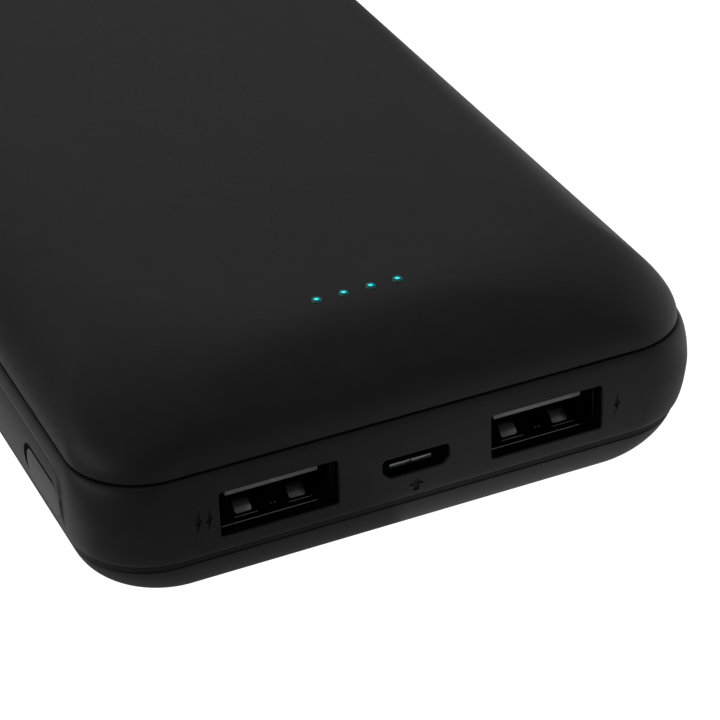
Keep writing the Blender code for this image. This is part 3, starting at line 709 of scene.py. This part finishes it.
def mouth_cutter(name, outline, centre, fillet, end_y):
    """Cuts an outline into the socket face, with a soft edge that follows the face and painted shade on its
    inner wall.
    """
    first = math.radians(18)
    steps = 5
    rows = []
    for step in range(steps + 1):
        angle = first + (math.pi / 2 - first) * step / steps
        around = grow(outline, fillet * (1 - math.sin(angle)))
        sink = fillet * (1 - math.cos(angle))
        row = []
        for u, v in around:
            z = centre[1] + v
            row.append(Vector((centre[0] + u, front_surface(z) + sink, z)))
        rows.append(row)
    rows.insert(0, [point - Vector((0.0, CUT_OVERRUN, 0.0)) for point in rows[0]])
    rows.append([Vector((point.x, end_y, point.z)) for point in rows[-1]])
    cutter = skin(name, rows, SOFT_TOUCH)
    # Painted shade: the mouth's inner wall and back get a near-black material
    cutter.data.materials.append(BLACK_AND_PAINTED_SHADE)
    for face in cutter.data.polygons:
        if face.index >= (len(rows) - 2) * len(outline):
            face.material_index = 1
    return cutter


def mark_cutter(name, outline, centre):
    """Cuts a flat mark a little way into the socket face, with painted shade on its floor and walls."""
    rows = []
    for sink in (-CUT_OVERRUN, MARK_DEPTH):
        row = []
        for u, v in outline:
            z = centre[1] + v
            row.append(Vector((centre[0] + u, front_surface(z) + sink, z)))
        rows.append(row)
    cutter = skin(name, rows, PAINTED_SHADE_SOFT)
    modifier = cutter.modifiers.new("triangles", "TRIANGULATE")
    modifier.quad_method = "BEAUTY"
    return finish_mesh(cutter)


def bolt_outline(height):
    """A small lightning bolt, the usual sign for power."""
    h, w = height, height * 0.27
    return [
        (0.34 * w, 0.50 * h), (-0.50 * w, -0.10 * h), (-0.06 * w, -0.10 * h),
        (-0.34 * w, -0.50 * h), (0.50 * w, 0.10 * h), (0.06 * w, 0.10 * h),
    ]


def arrow_outline(width, height):
    """A plain arrow that points up at the charging socket."""
    w, h = width / 2, height / 2
    stem = 0.34 * w
    return [(-stem, -h), (stem, -h), (stem, 0.0), (w, 0.0), (0.0, h), (-w, 0.0), (-stem, 0.0)]


def seat_cutter(name, node):
    """The pocket behind the socket face that a socket's metal shell sits in."""
    low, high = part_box(node)
    room = Vector((SEAT_CLEARANCE,) * 3)
    return block(name, low - room, Vector((high.x, low.y + SEAT_DEPTH, high.z)) + room)


def button_centre():
    return (BUTTON_LOW.y + BUTTON_HIGH.y) / 2, (BUTTON_LOW.z + BUTTON_HIGH.z) / 2


def button_outline():
    length = BUTTON_HIGH.y - BUTTON_LOW.y - 2 * BUTTON_FLANGE
    height = BUTTON_HIGH.z - BUTTON_LOW.z - 2 * BUTTON_FLANGE
    return rectangle(length, height, height / 2 - FLUSH, steps=12)


def side_rows(steps, lower=None):
    """Rows of points for a body that is built along -X, from (outward growth, x) pairs.

    A second list of pairs holds along the lower side, and the two blend into each other.
    """
    y, z = button_centre()
    outline = button_outline()
    reach = max(v for u, v in outline)
    rows = []
    for (growth, x), (low_growth, low_x) in zip(steps, lower or steps):
        row = []
        for (u, v), over, under in zip(outline, grow(outline, growth), grow(outline, low_growth)):
            share = smooth_step(0.5 + 0.5 * v / reach)
            place = Vector(under).lerp(Vector(over), share)
            row.append(Vector((low_x + (x - low_x) * share, y - place.x, z + place.y)))
        rows.append(row)
    return rows


def button_opening():
    """Cuts the button's opening into the thumb panel, with a soft edge and painted shade on its inner wall.
    """
    soft = BUTTON_MOUTH_FILLET
    steps = [(BUTTON_GAP, -PANEL_X + 3 * MM), (BUTTON_GAP, -PANEL_X + soft)]
    for step in range(1, 5):
        angle = math.radians(70) * step / 4
        growth = BUTTON_GAP + soft * (1 - math.cos(angle))
        steps.append((growth, -PANEL_X + soft * (1 - math.sin(angle))))
    steps.append((steps[-1][0], -PANEL_X - CUT_OVERRUN))
    cutter = skin("button_opening", side_rows(steps), SOFT_TOUCH)
    # Painted shade: the deep wall of the opening gets a near-black material
    cutter.data.materials.append(BLACK_AND_PAINTED_SHADE)
    for face in cutter.data.polygons:
        if face.index < len(button_outline()):
            face.material_index = 1
    return cutter


def socket_cutters():
    """The mouths in the socket face, and the pockets behind them."""
    inside_y = FRONT_Y + MOUTH_DEPTH
    cutters = []
    for side in SOCKET_SIDES:
        node = f"usb_a_{side}_shell"
        outline = rectangle(*USB_A_CUT, USB_A_CUT_RADIUS, steps=4)
        cutters.append(mouth_cutter(f"mouth_{side}", outline, middle(node), MOUTH_FILLET, inside_y))
        cutters.append(seat_cutter(f"seat_{side}", node))
    node = "micro_usb_shell"
    slot = micro_outline(*MICRO_CUT, MICRO_CHAMFER, MICRO_CORNER)
    cutters.append(mouth_cutter("mouth_micro", slot, middle(node), MICRO_MOUTH_FILLET, inside_y))
    cutters.append(seat_cutter("seat_micro", node))
    return cutters


def mark_cutters():
    """Lightning bolts beside the USB-A sockets and an arrow under the micro-USB one."""
    cutters = []
    for side, shifts in BOLT_XS.items():
        x, z = middle(f"usb_a_{side}_shell")
        for number, shift in enumerate(shifts, 1):
            bolt = bolt_outline(BOLT_HEIGHT)
            cutters.append(mark_cutter(f"bolt_{side}_{number}", bolt, (x + shift, z)))
    cutters.append(mark_cutter("arrow", arrow_outline(*ARROW_SIZE), (0.0, ARROW_Z)))
    return cutters


def paint_panel_edge_highlight(band):
    """Paints a highlight on the ridge round the thumb panels with a brighter, glossier black."""
    band.data.materials.append(PANEL_EDGE_HIGHLIGHT)
    for face in band.data.polygons:
        place = face.center
        on_side = abs(place.x) > PANEL_X - 0.1 * MM and place.z > PANEL_TOP_Z - 3 * MM
        if on_side and panel_share(place.y, place.z)[1] > 0.3:
            face.material_index = len(band.data.materials) - 1


def build_band():
    band = skin("band", band_rows(), SOFT_TOUCH, loop=True)
    for cutter in [*socket_cutters(), button_opening(), *mark_cutters()]:
        carve(band, cutter)
    paint_panel_edge_highlight(band)
    shade(band)
    return install(band, "housing", "soft_touch_black", "middle_frame")


# ---------------------------------------------------------------- base
def base_ring(inset, z, radius=None):
    radius = SEAM_RADIUS - inset if radius is None else radius
    return ring(SEAM_HALF_W - inset, SEAM_HALF_L - inset, max(radius, 0.5 * MM), z, QUARTERS, QUARTERS)


def build_base():
    rim_start = BASE_TOP_Z - RIM_FILLET
    rows = []
    for row in range(BASE_ROWS + 1):
        z = rim_start * (1 - math.cos(math.pi / 2 * row / BASE_ROWS))
        rows.append(body_ring(z, QUARTERS, QUARTERS))
    for step in range(1, 5):
        angle = math.pi / 2 * step / 4
        z = rim_start + RIM_FILLET * math.sin(angle)
        rows.append(body_ring(z, QUARTERS, QUARTERS, RIM_FILLET * (1 - math.cos(angle))))
    rows.append(base_ring(BASE_LIP_INSET, BASE_TOP_Z))
    rows.append(base_ring(BASE_LIP_INSET, BASE_LIP_TOP_Z))
    rows.append(base_ring(BASE_LIP_INNER, BASE_LIP_TOP_Z))
    rows.append(base_ring(BASE_LIP_INNER + 0.2 * MM, BASE_TOP_Z - 0.8 * MM))
    rows.append(base_ring(BODY_ROUND + 1.6 * MM, BASE_FLOOR, 4.0 * MM))
    base = skin("base_shell", rows, SOFT_TOUCH)
    shade(base)
    return install(base, "housing", "soft_touch_black", "bottom_cover")


# ---------------------------------------------------------------- power button
def button_steps(shrink, fillet):
    """Growth and x along the button's profile, from its flange out to the middle of its face."""
    face_x = -PANEL_X - BUTTON_PROUD
    back_x = BUTTON_HIGH.x
    flange_x = back_x - BUTTON_FLANGE_METAL
    steps = [
        (BUTTON_FLANGE, back_x), (BUTTON_FLANGE, flange_x), (-shrink, flange_x), (-shrink, face_x + fillet),
    ]
    for step in range(1, BUTTON_FILLET_STEPS + 1):
        angle = math.pi / 2 * step / BUTTON_FILLET_STEPS * 0.92
        growth = -shrink - fillet * (1 - math.cos(angle))
        steps.append((growth, face_x + fillet * (1 - math.sin(angle))))
    rim_growth, rim_x = steps[-1]
    half_height = (BUTTON_HIGH.z - BUTTON_LOW.z) / 2 - BUTTON_FLANGE
    rest = half_height + rim_growth - 0.06 * MM
    for step in range(1, 8):
        share = step / 7
        steps.append((rim_growth - rest * share, rim_x - BUTTON_DOME * (1 - (1 - share) ** 2)))
    return steps


def build_button():
    """The cap, with painted shade on the wall and fillet along its upper side."""
    rows = side_rows(button_steps(*BUTTON_UPPER), button_steps(*BUTTON_LOWER))
    button = skin("button_cap", rows, BUTTON_BLACK)
    button.data.materials.append(BLACK_AND_PAINTED_SHADE)
    button.data.materials.append(PAINTED_SHADE_SOFT)
    wall_strip = 2
    fillet_end = wall_strip + 1 + BUTTON_FILLET_STEPS
    painted_shade_z = button_centre()[1] + 0.5 * MM
    # Painted shade along the upper side: near-black on the wall and most of the fillet, a softer dark on the
    # fillet's outer end
    for face in button.data.polygons:
        strip = face.index // len(rows[0])
        if wall_strip <= strip < fillet_end and face.center.z > painted_shade_z:
            face.material_index = 1 if strip < fillet_end - 2 else 2
    shade(button)
    return install(button, "button", "button_black", "power_button")


# ---------------------------------------------------------------- indicator lights
def build_light_guide():
    """A bar under the cover, with a lit core and a dimly lit collar that rise from it to each hole."""
    low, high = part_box("light_guide")
    bar_top = low.z + LED_BAR_HEIGHT
    bar = block("light_guide_bar", low, (high.x, high.y, bar_top), GUIDE_CLEAR)
    install_small(bar, 0.15 * MM, "light_guide_clear", "light_guide")
    inner_r = LED_CORE_R + FLUSH
    dome_z = LED_CORE_RISE - LED_CORE_DOME
    core_profile = [(LED_CORE_R, -LED_CORE_LENGTH), (LED_CORE_R, dome_z)]
    for step in range(1, 6):
        angle = math.pi / 2 * step / 6
        core_profile.append((LED_CORE_R * math.cos(angle), dome_z + LED_CORE_DOME * math.sin(angle)))
    for number, centre in enumerate(led_centres(), 1):
        foot = bar_top + FLUSH - centre.z
        profile = [(LED_COLLAR_R, foot), (LED_COLLAR_R, 0.0)]
        for step in range(1, 6):
            share = step / 5
            rise = LED_COLLAR_RISE * math.sqrt(1 - (1 - share) ** 2)
            profile.append((LED_COLLAR_R + (inner_r - LED_COLLAR_R) * share, rise))
        profile += [(inner_r, -LED_SOCKET_DEPTH), (0.04 * MM, -LED_SOCKET_DEPTH)]
        collar = turned(f"light_pipe_collar_{number}", profile, centre, GUIDE_COLLAR, steps=40)
        shade(collar)
        install(collar, "housing", "light_guide_clear", "light_guide")
        core = turned(f"light_pipe_core_{number}", core_profile, centre, GUIDE_CORE, steps=40)
        shade(core, 60)
        install(core, "housing", "light_guide_clear", "light_guide")


# ---------------------------------------------------------------- sockets
def upright(outline, centre, y):
    return [Vector((centre[0] + u, y, centre[1] + v)) for u, v in outline]


def shell_tube(name, outline, metal, node):
    """A drawn metal shell, open at the front, with a rounded front edge: the outline is its outer face."""
    low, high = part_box(node)
    inner_end = high.y - 2.0 * MM
    soft = metal / 2
    steps = [(0.0, high.y), (0.0, low.y + soft)]
    for step in range(7):
        angle = math.pi * step / 6
        steps.append((-soft + soft * math.cos(angle), low.y + soft * (1 - math.sin(angle))))
    steps += [(-metal, low.y + soft), (-metal, inner_end)]
    rows = [upright(grow(outline, growth), middle(node), y) for growth, y in steps]
    # the shell gets the near-black steel: painted shade
    return skin(name, rows, CAN_STEEL_SHADED)


def build_usb_a_shell(name):
    """The metal shell, with two windows in its floor that its spring fingers rise from."""
    node = f"{name}_shell"
    low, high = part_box(node)
    x = middle(node)[0]
    outline = rectangle(high.x - low.x, high.z - low.z, 0.55 * MM, steps=5)
    shell = shell_tube(f"{name}_can", outline, USB_A_METAL, node)
    across, along = WINDOW_SIZE
    floor_z = low.z + USB_A_METAL
    cutters = []
    for number, shift in enumerate(WINDOW_XS, 1):
        window_low = (x + shift - across / 2, low.y + WINDOW_BACK, low.z - MM)
        window_high = (x + shift + across / 2, low.y + WINDOW_BACK + along, floor_z + 0.4 * MM)
        cutters.append(block(f"{name}_window_{number}", window_low, window_high))
    carve(shell, *cutters)
    shade(shell)
    install(shell, "housing", "socket_steel", node)


def build_usb_a_floor(name):
    """What lies on the shell's floor: window lips, spring fingers, two bumps and a painted highlight of
    bright steel along the lit part of its front edge.
    """
    node = f"{name}_shell"
    low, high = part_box(node)
    x = middle(node)[0]
    floor_z = low.z + USB_A_METAL
    for number, shift in enumerate(SPRING_XS, 1):
        lip_low = (x + shift - 1.33 * MM, low.y + 0.86 * MM, floor_z + FLUSH)
        lip_high = (x + shift + 1.33 * MM, low.y + WINDOW_BACK, floor_z + 0.1 * MM)
        lip = block(f"{name}_window_lip_{number}", lip_low, lip_high, LIP_STEEL)
        install_small(lip, 0.03 * MM, "socket_steel")
        spring = build_spring(f"{name}_spring_{number}", x + shift, low.y, floor_z)
        install(spring, "housing", "socket_steel")
    bump_profile = [
        (0.15 * MM, -0.05 * MM), (0.15 * MM, 0.02 * MM), (0.1 * MM, 0.09 * MM), (0.02 * MM, 0.12 * MM),
    ]
    for number, shift in enumerate(BUMP_XS, 1):
        foot = Vector((x + shift, low.y + 1.7 * MM, floor_z))
        bump = turned(f"{name}_bump_{number}", bump_profile, foot, STEEL, steps=16)
        shade(bump)
        install(bump, "housing", "socket_steel")
    # Painted highlight: a strip of bright steel along the lit part of the shell's front edge, which the dark
    # can would not show
    edge_low = (x + FRONT_HIGHLIGHT_XS[0], low.y - 0.02 * MM, floor_z - 0.05 * MM)
    edge_high = (x + FRONT_HIGHLIGHT_XS[1], low.y + 0.1 * MM, floor_z + 0.05 * MM)
    edge = block(f"{name}_front_edge_painted_highlight", edge_low, edge_high, LIP_STEEL)
    install_small(edge, 0.03 * MM, "socket_steel")


def build_usb_a(side):
    name = f"usb_a_{side}"
    build_usb_a_shell(name)
    build_usb_a_floor(name)
    low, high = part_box(f"{name}_shell")
    sheet_low = (low.x + SHEET_MARGIN, low.y + SHEET_MARGIN, low.z - 0.22 * MM)
    sheet_high = (high.x - SHEET_MARGIN, high.y - SHEET_MARGIN, low.z - 0.06 * MM)
    sheet = block(f"{name}_insulator", sheet_low, sheet_high, BLACK_AND_PAINTED_SHADE)
    install_small(sheet, 0.03 * MM, "switch_black")
    tongue_low, tongue_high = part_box(f"{name}_tongue")
    tongue_low = tongue_low + Vector((0.6, 0.0, 0.08)) * MM
    tongue = block(f"{name}_tongue_bar", tongue_low, tongue_high, TONGUE)
    install_small(tongue, 0.12 * MM, "tongue_plastic", f"{name}_tongue")


def build_spring(name, x, front_y, floor_z):
    """A spring finger that rises out of its window and turns down again at its tip."""
    path = [                            # millimetres behind the shell's front edge and above its floor
        (6.4, -0.5), (5.2, -0.4), (4.3, -0.2), (3.75, 0.2), (3.35, 0.66), (3.05, 0.84), (2.75, 0.84),
        (2.4, 0.66), (2.05, 0.38), (1.75, 0.06), (1.6, -0.12),
    ]
    rows = []
    for i, (depth, rise) in enumerate(path):
        before = Vector(path[max(i - 1, 0)])
        after = Vector(path[min(i + 1, len(path) - 1)])
        along = (after - before).normalized()
        normal = Vector((along.y, -along.x))
        half = SPRING_WIDTH / 2 * (SPRING_TIP if i == len(path) - 1 else 1.0)
        place = Vector((depth, rise)) * MM
        row = []
        for side, share in ((-half, 0.5), (half, 0.5), (half, -0.5), (-half, -0.5)):
            across = place + normal * SPRING_METAL * share
            row.append(Vector((x + side, front_y + across.x, floor_z + across.y)))
        rows.append(row)
    spring = skin(name, rows, STEEL)
    rounded_edges(spring, 0.04 * MM, segments=2, angle=60.0)
    return shade(spring, 40)


def build_micro_usb():
    node = "micro_usb_shell"
    low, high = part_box(node)
    outline = micro_outline(high.x - low.x, high.z - low.z, MICRO_SHELL_CHAMFER, MICRO_SHELL_CORNER)
    shell = shell_tube("micro_usb_can", outline, MICRO_METAL, node)
    halves = ((-MICRO_LIP_HALF_W, -MICRO_LIP_SPLIT / 2), (MICRO_LIP_SPLIT / 2, MICRO_LIP_HALF_W))
    for number, (start, end) in enumerate(halves, 1):
        lip_low = (start, low.y - MICRO_LIP_LENGTH, low.z + 0.1 * MM)
        lip_high = (end, low.y - FLUSH, low.z + 0.68 * MM)
        lip = block(f"micro_usb_lip_{number}", lip_low, lip_high, LIP_STEEL)
        install_small(lip, 0.07 * MM, "socket_steel", node)
    shade(shell)
    install(shell, "housing", "socket_steel", node)
    tongue_low, tongue_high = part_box("micro_usb_tongue")
    tongue = block("micro_usb_tongue_bar", tongue_low, tongue_high, BLACK_AND_PAINTED_SHADE)
    install_small(tongue, 0.08 * MM, "tongue_plastic", "micro_usb_tongue")


# ---------------------------------------------------------------- CAD nodes that stay
KEPT_MATERIALS = {
    "soft_touch_black": SOFT_TOUCH, "button_black": BUTTON_BLACK, "switch_black": SWITCH_BLACK,
    "socket_steel": STEEL, "tongue_plastic": TONGUE, "contact_gold": GOLD,
    "light_guide_clear": GUIDE_CLEAR, "led_cyan": LED_CYAN, "board_green": BOARD_GREEN,
    "chip_black": CHIP_BLACK, "ferrite": FERRITE, "ceramic_tan": CERAMIC, "pouch_foil": FOIL,
    "nickel": NICKEL, "screw_steel": SCREW_STEEL, "cell_tape": CELL_TAPE, "foam": FOAM,
    "insulation_paper": INSULATION, "wire_red": WIRE_RED, "wire_black": WIRE_BLACK,
}


def dress_cad_nodes():
    """Gives every CAD node the finish of its slot in the record."""
    for entry in frame["record"]["subparts"]:
        for slot in frame["nodes"][entry["node"]].material_slots:
            slot.material = KEPT_MATERIALS[entry["material_slot"]]


# ---------------------------------------------------------------- studio
def stage_material(name, strength):
    """White card that shines from its upper face and is clear from below."""
    material = bpy.data.materials.new(name)
    material.use_nodes = True
    nodes = material.node_tree.nodes
    links = material.node_tree.links
    nodes.remove(nodes["Principled BSDF"])
    glow = nodes.new("ShaderNodeEmission")
    glow.inputs["Strength"].default_value = strength
    clear = nodes.new("ShaderNodeBsdfTransparent")
    side = nodes.new("ShaderNodeNewGeometry")
    mix = nodes.new("ShaderNodeMixShader")
    links.new(side.outputs["Backfacing"], mix.inputs["Fac"])
    links.new(glow.outputs["Emission"], mix.inputs[1])
    links.new(clear.outputs["BSDF"], mix.inputs[2])
    links.new(mix.outputs["Shader"], nodes["Material Output"].inputs["Surface"])
    return material


def stage_sheet(name, outline, z, strength):
    mesh = bpy.data.meshes.new(name)
    mesh.from_pydata([(x, y, z) for x, y in outline], [], [tuple(range(len(outline)))])
    sheet = bpy.data.objects.new(name, mesh)
    bpy.context.scene.collection.objects.link(sheet)
    mesh.materials.append(stage_material(name, strength))
    return sheet


FLOOR_HALF = 5.0
FLOOR_GLOW = 1.15                       # the floor that the camera sees
CARD_Z = -0.5 * MM                      # cards under it, which only light the object
CARD_SECTORS = {                        # first and last angle in degrees, and glow
    "front_left": (-135, -90, 0.27),
    "front_right": (-90, -45, 0.50),
    "right": (-45, 45, 0.91),
    "left": (135, 225, 0.14),
}
NEAR_CARD_GLOW = 0.66                   # a narrow card close to the button side
NEAR_CARD_X = (-62.0 * MM, -36.4 * MM)
NEAR_CARD_Y = (-60.0 * MM, 85.0 * MM)

# name: (direction to the light, distance, width, height, power in watts)
SOFTBOXES = {
    "top": ((0.0, 0.0, 1.0), 1.4, 1.6, 1.6, 1.6),
    "back": ((0.1, 0.85, 0.5), 1.6, 2.0, 0.9, 2.7),
    "right": ((1.0, 0.1, 0.28), 1.6, 1.8, 0.8, 3.3),
    "left": ((-1.0, 0.1, 0.28), 1.6, 1.8, 0.8, 7.0),
    "front_right": ((0.7, -1.0, 0.35), 1.6, 1.0, 0.8, 0.2),
    "right_high": ((1.0, -0.5, 1.0), 1.6, 1.2, 0.9, 0.7),
}
WORLD_GLOW = 0.12


def corners(low_x, high_x, low_y, high_y):
    return [(low_x, low_y), (high_x, low_y), (high_x, high_y), (low_x, high_y)]


def build_floor():
    h = FLOOR_HALF
    floor = stage_sheet("floor", corners(-h, h, -h, h), 0.0, FLOOR_GLOW)
    floor.visible_diffuse = False
    floor.visible_glossy = False
    floor.visible_transmission = False
    floor.visible_shadow = False


def build_cards():
    for side, (first, last, glow) in CARD_SECTORS.items():
        outline = [(0.0, 0.0)]
        for angle in (math.radians(first), math.radians(last)):
            outline.append((FLOOR_HALF * math.cos(angle), FLOOR_HALF * math.sin(angle)))
        card = stage_sheet(f"card_{side}", outline, CARD_Z, glow)
        card.visible_camera = False
    card = stage_sheet("card_near", corners(*NEAR_CARD_X, *NEAR_CARD_Y), CARD_Z / 2, NEAR_CARD_GLOW)
    card.visible_camera = False


def build_softboxes():
    for name, (direction, distance, width, height, power) in SOFTBOXES.items():
        light = bpy.data.lights.new(f"softbox_{name}", "AREA")
        light.shape = "RECTANGLE"
        light.size = width
        light.size_y = height
        light.energy = power
        lamp = bpy.data.objects.new(f"softbox_{name}", light)
        bpy.context.scene.collection.objects.link(lamp)
        towards = Vector(direction).normalized()
        lamp.location = towards * distance
        lamp.rotation_euler = towards.to_track_quat("Z", "Y").to_euler()
        lamp.visible_camera = False


def build_world():
    world = bpy.data.worlds.new("studio")
    bpy.context.scene.world = world
    world.use_nodes = True
    background = world.node_tree.nodes["Background"]
    background.inputs["Color"].default_value = (1.0, 1.0, 1.0, 1.0)
    background.inputs["Strength"].default_value = WORLD_GLOW
    bpy.context.scene.view_settings.view_transform = "Standard"


CAMERA_LENS = 138.4                     # millimetres, on a sensor 36 mm wide
CAMERA_BACK = 217.5 * MM                # in front of the socket face
CAMERA_LEFT = 99.4 * MM                 # towards the button side
CAMERA_UP = 157.0 * MM                  # over the seam
CAMERA_TURN = (57.930, 1.948, -24.470)  # degrees about X, Y and Z


def build_camera():
    camera = bpy.data.cameras.new("camera")
    camera.lens = CAMERA_LENS
    camera.sensor_width = 36.0
    camera.clip_start = 0.01
    camera.clip_end = 20.0
    holder = bpy.data.objects.new("camera", camera)
    bpy.context.scene.collection.objects.link(holder)
    holder.location = (-CAMERA_LEFT, FRONT_Y - CAMERA_BACK, SEAM_Z + CAMERA_UP)
    holder.rotation_euler = [math.radians(angle) for angle in CAMERA_TURN]
    bpy.context.scene.camera = holder


# ---------------------------------------------------------------- making it all
dress_cad_nodes()
build_camera()
build_floor()
build_cards()
build_softboxes()
build_world()
build_top_cover()
build_band()
build_base()
build_button()
build_light_guide()
for socket_side in SOCKET_SIDES:
    build_usb_a(socket_side)
build_micro_usb()
